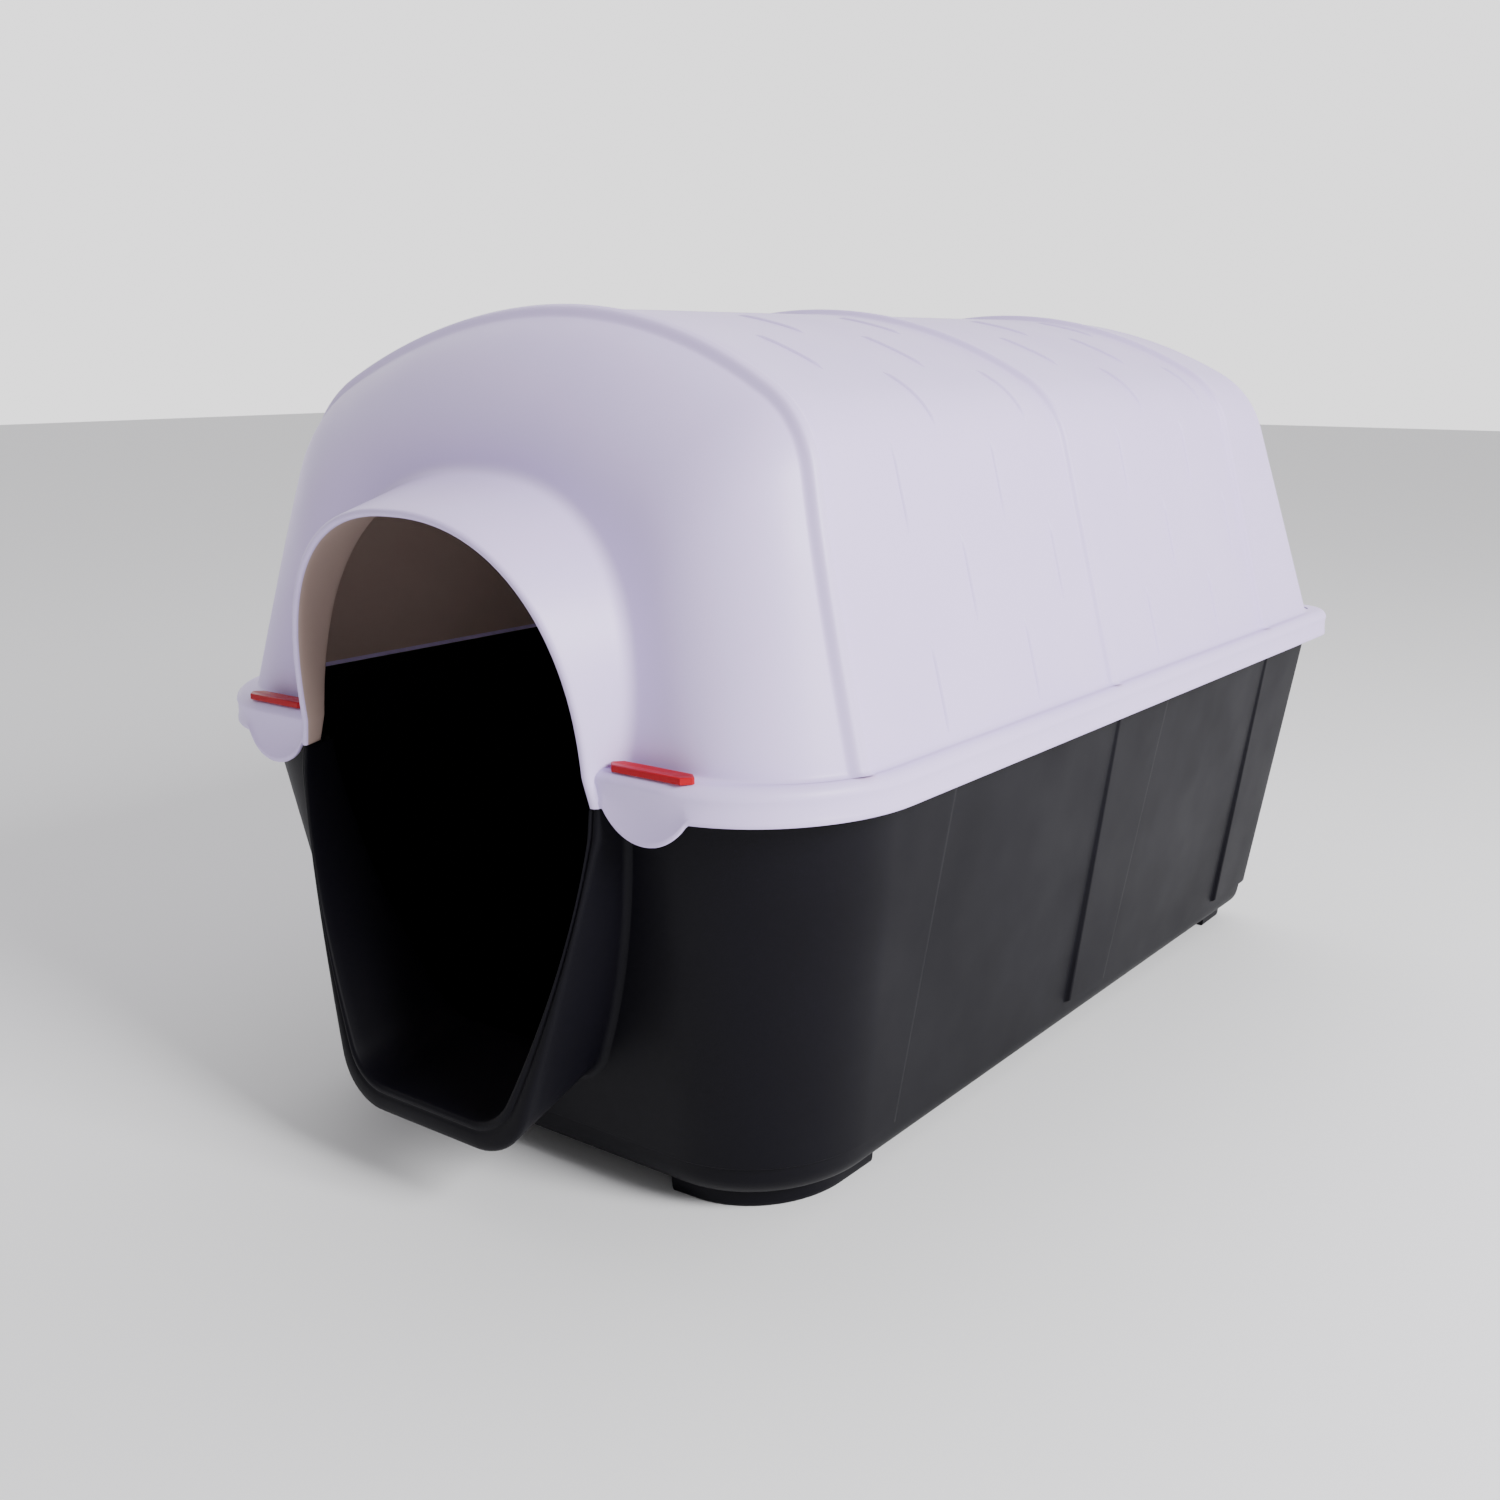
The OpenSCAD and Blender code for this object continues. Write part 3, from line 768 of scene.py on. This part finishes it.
# %% One row of the collar
def collar_row(outline, back):
    """Outline on the leaning front of the collar, moved back."""
    return np.stack([outline[:, 0], collar_front(outline[:, 1]) + back, outline[:, 1]], 1)


def outward(outline):
    """Normals of an outline in x and z, away from the doorway."""
    slope = np.gradient(outline, axis=0)
    n = np.stack([slope[:, 1], -slope[:, 0]], 1)
    return n / np.linalg.norm(n, axis=1, keepdims=True)


# %% Collar rows inside the doorway and round the lip
collar_rows = []
inner_depth = front_wall_at(wall_inside[:, 1]) + WALL + 1.0 - collar_front(wall_inside[:, 1])
collar_rows.append(collar_row(wall_inside + outward(wall_inside) * 7, inner_depth + 0.6))
collar_rows.append(collar_row(wall_inside + outward(wall_inside) * 2.5, inner_depth + 0.8))
collar_rows.append(collar_row(wall_inside + outward(wall_inside) * 0.6, inner_depth + 0.1))
for t in np.linspace(1, 0, 10):
    outline = mix(lip_inside, wall_inside, t ** 1.2)
    collar_rows.append(collar_row(outline, mix(2.6, inner_depth - 2.0, t)))
# Lip: share of the way from the inner to the outer edge, and how far it is set back
LIP_BACK = 6.5
lip_profile = [(0.02, 1.2), (0.06, 0.4), (0.12, 0.0), (0.19, 0.1), (0.25, 0.8), (0.29, 1.9), (0.33, 2.3),
               (0.38, 1.9), (0.48, 1.5), (0.62, 1.5), (0.76, 1.8), (0.88, 2.7), (0.96, 4.2), (1.0, LIP_BACK)]
for share, back in lip_profile:
    collar_rows.append(collar_row(mix(lip_inside, lip_outside, share), back))

# %% Collar rows along its flank and into the wall
FLANK_HOLLOW = 7.0
outer_depth = front_wall_at(wall_outside[:, 1]) - collar_front(wall_outside[:, 1])
fillet = np.minimum(0.4 * outer_depth, FLANK_HOLLOW)[:, None]
for t in np.linspace(0.12, 1, 7):
    outline = mix(lip_outside, wall_outside, t)
    collar_rows.append(collar_row(outline, mix(LIP_BACK, outer_depth - fillet[:, 0], t)))
flank_end = collar_rows[-1]
flank_root = collar_row(wall_outside, outer_depth)
spread_out = wall_outside + outward(wall_outside) * fillet
in_wall_y = front_wall_at(spread_out[:, 1]) + 0.4
on_front = np.stack([spread_out[:, 0], in_wall_y, spread_out[:, 1]], 1)
collar_rows += [hollow(flank_end, flank_root, on_front, t) for t in np.linspace(0, 1, 9)[1:]]
half = np.array(collar_rows)
collar_grid = np.concatenate([half[:, ::-1], half[:, 1:] * np.array([-1.0, 1.0, 1.0])], axis=1)
count, width = collar_grid.shape[:2]
faces = grid_faces(count, width)
tub_collar = make_piece("tub_collar", collar_grid, faces, sharp_degrees=50)

# %% Doorway, hood notch and clip slots cut from the tub
door_outline = collar_half(98, 44, 46, 26, (137, 206), (146, 291), SEAT_Z + 12)
door_line = np.concatenate([door_outline[::-1], door_outline[1:] * np.array([-1.0, 1.0])])
CUT_FRONT = RIM_FRONT - 60
NOTCH_HW = 153
prism = [np.stack([door_line[:, 0], np.full(len(door_line), y), door_line[:, 1]], 1)
         for y in (CUT_FRONT, RIM_FRONT + 110)]
width = len(door_line)
faces = grid_faces(2, width, wrap_columns=True)
faces += [list(range(width)), list(range(2 * width - 1, width - 1, -1))]
cut_with(tub_skin, make_piece("door_cutter", np.array(prism), faces))
notch = ((-NOTCH_HW, CUT_FRONT, COLLAR_TOP), (NOTCH_HW, RIM_FRONT + 24, SEAT_Z + 12))
cut_with(tub_skin, box_piece("hood_notch", [notch]))
cut_with(tub_skin, box_piece("lip_slots", slot_boxes(SEAT_Z - 12, SEAT_Z + 2)))

# %% [markdown]
# ## Feet
# Each corner stands on a curved foot that follows the wall above it. An extruded outline with a
# small bevel is all it needs, because the eye only meets its rounded lower edge.

# %% Feet
FOOT_INSET, FOOT_W, FOOT_RUN = 16.0, 34.0, 40.0


def foot_outline(cx, cy, rx, ry, way):
    """Plan of a foot round a corner, in front (way -1) or at the back (way 1)."""
    turn = corner_arc(cx, cy, rx, way * ry, 0, 90, 20)
    reach_x = cx - (FOOT_RUN / 2 if way < 0 else FOOT_RUN)
    reach_y = cy - way * FOOT_RUN
    line = [(cx + rx - FOOT_W, reach_y), (cx + rx, reach_y), *turn,
            (reach_x, cy + way * ry), (reach_x, cy + way * (ry - FOOT_W))]
    if way < 0:
        line += [tuple(p) for p in corner_arc(cx, cy, rx - FOOT_W, way * (ry - FOOT_W), 90, 0, 16)]
    else:
        line.append((cx + rx - FOOT_W, cy + way * (ry - FOOT_W)))
    return np.array(line)


# %% A foot from its outline
def foot_piece(name, outline, side):
    """The outline swept down to the floor, growing smaller towards a rounded lower edge."""
    centre = outline.mean(axis=0)
    levels = [(TUB_Z + 3.0, 0.0), (4.0, -0.8), (1.6, -1.3), (0.5, -2.2), (0.0, -3.8)]
    rows = []
    for z, grow in levels:
        slope = np.gradient(np.concatenate([outline[-1:], outline, outline[:1]]), axis=0)[1:-1]
        n = np.stack([slope[:, 1], -slope[:, 0]], 1)
        n /= np.linalg.norm(n, axis=1, keepdims=True)
        n *= np.sign(((outline - centre) * n).sum())
        ring = (outline + n * grow) * np.array([side, 1])
        rows.append(np.concatenate([ring, np.full((len(ring), 1), z)], 1))
    rows = np.array(rows)
    count, width = rows.shape[:2]
    faces = grid_faces(count, width, wrap_columns=True)
    faces += [list(range(width)), list(range(count * width - 1, (count - 1) * width - 1, -1))]
    return make_piece(name, rows, faces)


# %% Four feet, and the tub as one piece
feet = []
low_a, low_b = TUB_CORNER[0]
for side in (-1, 1):
    front = foot_outline(TUB_HW[0] - low_a, TUB_FRONT[0] + low_b,
                         low_a - FOOT_INSET, low_b - FOOT_INSET, -1)
    rear_in = TUB_REAR_R - FOOT_INSET
    rear = foot_outline(TUB_HW[0] - TUB_REAR_R, TUB_BACK[0] - TUB_REAR_R,
                        rear_in, rear_in, 1)
    feet += [foot_piece("foot_front", front, side), foot_piece("foot_rear", rear, side)]
tub = joined("tub_moulding", [tub_skin, tub_collar, *feet])

# %% [markdown]
# ## Clips
# A clip is a short bar with mitred ends, moulded in red so that nobody loses it in the grass.
# Its edges are rounded by a bevel, its top is dished a little, and the tongue below is a plain
# tapered blade.

# %% Head and tongue of a clip
CLIP_L, CLIP_W, CLIP_T = 66.0, 13.0, 4.5
CLIP_BEVEL, DISH_EDGE, DISH_DEPTH = 1.1, 1.6, 0.45
TONGUE_L = 30.0


def clip_head(shape, x, y):
    """A mitred bar with rounded upper edges and a dished top."""
    mitre, hl, hw = CLIP_W * 0.42, CLIP_L / 2, CLIP_W / 2
    outline = [(-hl, -hw + mitre), (-hl + mitre, -hw), (hl - mitre, -hw), (hl, -hw + mitre),
               (hl, hw - mitre), (hl - mitre, hw), (-hl + mitre, hw), (-hl, hw - mitre)]
    base = shape.faces.new([shape.verts.new((x + u, y + v, LEDGE_Z)) for u, v in outline])
    grown = bmesh.ops.extrude_face_region(shape, geom=[base])
    raised = [g for g in grown["geom"] if isinstance(g, bmesh.types.BMVert)]
    bmesh.ops.translate(shape, vec=(0, 0, CLIP_T), verts=raised)
    bmesh.ops.bevel(shape, geom=[e for e in shape.edges if min(v.co.z for v in e.verts) > LEDGE_Z],
                    offset=CLIP_BEVEL, segments=3, affect="EDGES", profile=0.6)
    top = max(shape.faces, key=lambda f: (round(f.calc_center_median().z, 3), f.calc_area()))
    bmesh.ops.inset_region(shape, faces=[top], thickness=DISH_EDGE, depth=0)
    bmesh.ops.translate(shape, vec=(0, 0, -DISH_DEPTH), verts=top.verts)


def clip_tongue(shape, x, y):
    """A flat blade that narrows at its lower end."""
    blade = [(-TONGUE_W / 2 + 5, -TONGUE_L), (TONGUE_W / 2 - 5, -TONGUE_L), (TONGUE_W / 2, -TONGUE_L + 8),
             (TONGUE_W / 2, 0.5), (-TONGUE_W / 2, 0.5), (-TONGUE_W / 2, -TONGUE_L + 8)]
    fronts = [shape.verts.new((x + u, y - TONGUE_T / 2, LEDGE_Z + w)) for u, w in blade]
    backs = [shape.verts.new((x + u, y + TONGUE_T / 2, LEDGE_Z + w)) for u, w in blade]
    shape.faces.new(fronts)
    shape.faces.new(backs[::-1])
    for k in range(len(blade)):
        n = (k + 1) % len(blade)
        shape.faces.new((fronts[n], fronts[k], backs[k], backs[n]))


# %% Four clips
def clip_piece(name, x, y):
    """One clip, its head on the ledge at x and y."""
    shape = bmesh.new()
    clip_head(shape, x, y)
    clip_tongue(shape, x, y)
    bmesh.ops.recalc_face_normals(shape, faces=shape.faces)
    bmesh.ops.scale(shape, vec=(MM, MM, MM), verts=shape.verts)
    mesh = bpy.data.meshes.new(name)
    shape.to_mesh(mesh)
    shape.free()
    mesh.polygons.foreach_set("use_smooth", [True] * len(mesh.polygons))
    mesh.set_sharp_from_angle(angle=math.radians(35))
    piece = bpy.data.objects.new(name, mesh)
    bpy.context.scene.collection.objects.link(piece)
    return piece


clips = {}
for end, y in (("front", CLIP_YS[0]), ("rear", CLIP_YS[1])):
    for hand, side in (("left", -1), ("right", 1)):
        node_name = f"clip_{end}_{hand}"
        clips[node_name] = clip_piece(f"{node_name}_red", side * CLIP_X, y)
print("clips", list(clips))

# %% [markdown]
# ## Plastics
# Every part is polypropylene, the usual plastic for outdoor mouldings. What differs is the colour
# and the mould surface: satin for the roof, a fine spark-eroded texture for the tub, smooth for
# the clips. The roof's inside gets its white painted duller and warmer: painted shade, for the
# shade that falls inside the roof.
# One small function adds a node with its settings and links.

# %% Node helper and colour
def linear(hex_colour):
    """Linear RGBA from an sRGB hex colour."""
    values = [int(hex_colour[k:k + 2], 16) / 255 for k in (1, 3, 5)]
    return (*[v / 12.92 if v <= 0.04045 else ((v + 0.055) / 1.055) ** 2.4 for v in values], 1.0)


def add_node(tree, kind, inputs=None, **settings):
    """A node with its settings. An input given a socket is linked to it, any other gets the value."""
    made = tree.nodes.new(kind)
    for name, value in settings.items():
        setattr(made, name, value)
    for name, value in (inputs or {}).items():
        if isinstance(value, bpy.types.NodeSocket):
            tree.links.new(value, made.inputs[name])
        else:
            made.inputs[name].default_value = value
    return made


# %% The plastic
POLISH_SPREAD = 0.04
WAVE_MM, WAVE_DEPTH_MM = 35.0, 0.35


def moulded_polypropylene(name, colour, shade, roughness, grain_mm, grain_depth_mm, shine, cloud_mm=90.0):
    """Polypropylene: a cloudy colour, a grain in the surface, and slow waves from uneven cooling."""
    material = bpy.data.materials.new(name)
    material.use_nodes = True
    tree = material.node_tree
    shader = tree.nodes["Principled BSDF"]
    shader.inputs["IOR"].default_value = 1.49
    shader.inputs["Specular IOR Level"].default_value = shine
    place = add_node(tree, "ShaderNodeTexCoord").outputs["Object"]
    cloud = add_node(tree, "ShaderNodeTexNoise",
                     {"Vector": place, "Scale": 1 / (cloud_mm * MM), "Detail": 3.0})
    colours = add_node(tree, "ShaderNodeMix",
                       {0: cloud.outputs["Fac"], 6: linear(colour), 7: linear(shade)}, data_type="RGBA")
    tree.links.new(colours.outputs[2], shader.inputs["Base Color"])
    polish = add_node(tree, "ShaderNodeMapRange",
                      {0: cloud.outputs["Fac"], 1: 0.3, 2: 0.7,
                       3: roughness - POLISH_SPREAD, 4: roughness + POLISH_SPREAD})
    tree.links.new(polish.outputs[0], shader.inputs["Roughness"])
    grain = add_node(tree, "ShaderNodeTexNoise",
                     {"Vector": place, "Scale": 1 / (grain_mm * MM), "Detail": 2.0})
    waves = add_node(tree, "ShaderNodeTexNoise",
                     {"Vector": place, "Scale": 1 / (WAVE_MM * MM), "Detail": 1.0})
    slow = add_node(tree, "ShaderNodeBump",
                    {"Height": waves.outputs["Fac"], "Distance": WAVE_DEPTH_MM * MM, "Strength": 0.5})
    fine = add_node(tree, "ShaderNodeBump",
                    {"Height": grain.outputs["Fac"], "Distance": grain_depth_mm * MM,
                     "Strength": 0.6, "Normal": slow.outputs["Normal"]})
    tree.links.new(fine.outputs["Normal"], shader.inputs["Normal"])
    print(name, "grain", grain_mm, "mm, roughness", roughness)
    return material


# %% Finishes
# Name, colour and its shade, roughness, grain and its depth in mm, specular level, size of clouds
white_polypropylene = moulded_polypropylene(
    "white_satin_polypropylene", "#D9C8F6", "#D1BFF0", 0.42, 2.2, 0.05, 0.4)
# The roof's white painted duller and warmer for its inner face: painted shade, not a different plastic.
painted_shade_polypropylene = moulded_polypropylene(
    "white_polypropylene_painted_shade", "#C2AAA2", "#B69E95", 0.55, 2.2, 0.05, 0.3)
charcoal_polypropylene = moulded_polypropylene(
    "charcoal_textured_polypropylene", "#0A0911", "#08070D", 0.5, 1.2, 0.10, 0.11)
red_polypropylene = moulded_polypropylene(
    "red_smooth_polypropylene", "#AE0A1E", "#A00819", 0.34, 0.8, 0.02, 0.2, 20.0)

# %% [markdown]
# ## Joining the looks to the frame
# Each moulding rides on its CAD body and stands for its CAD node, so that it moves when the
# roof is lifted or a clip is pulled. The roof's faces numbered 1, its inner face, get its white
# painted duller and warmer as painted shade.

# %% Bodies, nodes and materials
stand_ins = [(roof, "roof", "roof_shell", "roof_plastic", white_polypropylene),
             (tub, "tub", "base_tub", "tub_plastic", charcoal_polypropylene)]
stand_ins += [(piece, name, name, "clip_plastic", red_polypropylene) for name, piece in clips.items()]
for piece, body, node, slot, material in stand_ins:
    piece.data.materials.append(material)
    # The roof's inner faces take its white painted darker and warmer as painted shade.
    if piece is roof:
        piece.data.materials.append(painted_shade_polypropylene)
    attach(piece, body)
    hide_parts(node)
    print(piece.name, "rides on", body)

# %% [markdown]
# ## Studio
# A pale floor, a room that is bright behind the model and dim elsewhere, and one large soft light
# from the right. The room fills the shadows; the light gives the roof its slow gradient and the
# tub its faint sheen.

# %% Floor
floor_mesh = bpy.data.meshes.new("floor")
FLOOR_HALF = 12.0
floor_mesh.from_pydata([(-FLOOR_HALF, -FLOOR_HALF, 0), (FLOOR_HALF, -FLOOR_HALF, 0),
                        (FLOOR_HALF, FLOOR_HALF, 0), (-FLOOR_HALF, FLOOR_HALF, 0)], [], [(0, 1, 2, 3)])
floor = bpy.data.objects.new("floor", floor_mesh)
bpy.context.scene.collection.objects.link(floor)
floor_material = bpy.data.materials.new("pale_paper")
floor_material.use_nodes = True
floor_shader = floor_material.node_tree.nodes["Principled BSDF"]
floor_shader.inputs["Base Color"].default_value = linear("#F4F4F6")
floor_shader.inputs["Roughness"].default_value = 0.9
floor_mesh.materials.append(floor_material)

# %% Room
world = bpy.data.worlds.new("studio_room")
world.use_nodes = True
room = world.node_tree
facing = add_node(room, "ShaderNodeTexCoord").outputs["Generated"]
WALL_WAY = (-0.6, 0.8, 0.0)
DIM, BRIGHT = 0.36, 1.9
towards_wall = add_node(room, "ShaderNodeVectorMath", {0: facing, 1: WALL_WAY}, operation="DOT_PRODUCT")
glow = add_node(room, "ShaderNodeMapRange",
                {0: towards_wall.outputs["Value"], 1: -0.1, 2: 0.7, 3: DIM, 4: BRIGHT},
                interpolation_type="SMOOTHSTEP")
sky = room.nodes["Background"]
sky.inputs["Color"].default_value = (1.0, 0.99, 1.0, 1.0)
room.links.new(glow.outputs[0], sky.inputs["Strength"])
bpy.context.scene.world = world


# %% Key light
def area_light(name, place, target, size, power):
    data = bpy.data.lights.new(name, "AREA")
    data.shape = "SQUARE"
    data.size = size
    data.energy = power
    light = bpy.data.objects.new(name, data)
    light.location = place
    light.rotation_mode = "QUATERNION"
    light.rotation_quaternion = (Vector(target) - Vector(place)).to_track_quat("-Z", "Y")
    bpy.context.scene.collection.objects.link(light)
    print(name, "at", place, "with", power, "W")


area_light("key_light", (2.9, -0.4, 1.9), (0.0, 0.0, 0.35), 1.2, 185)
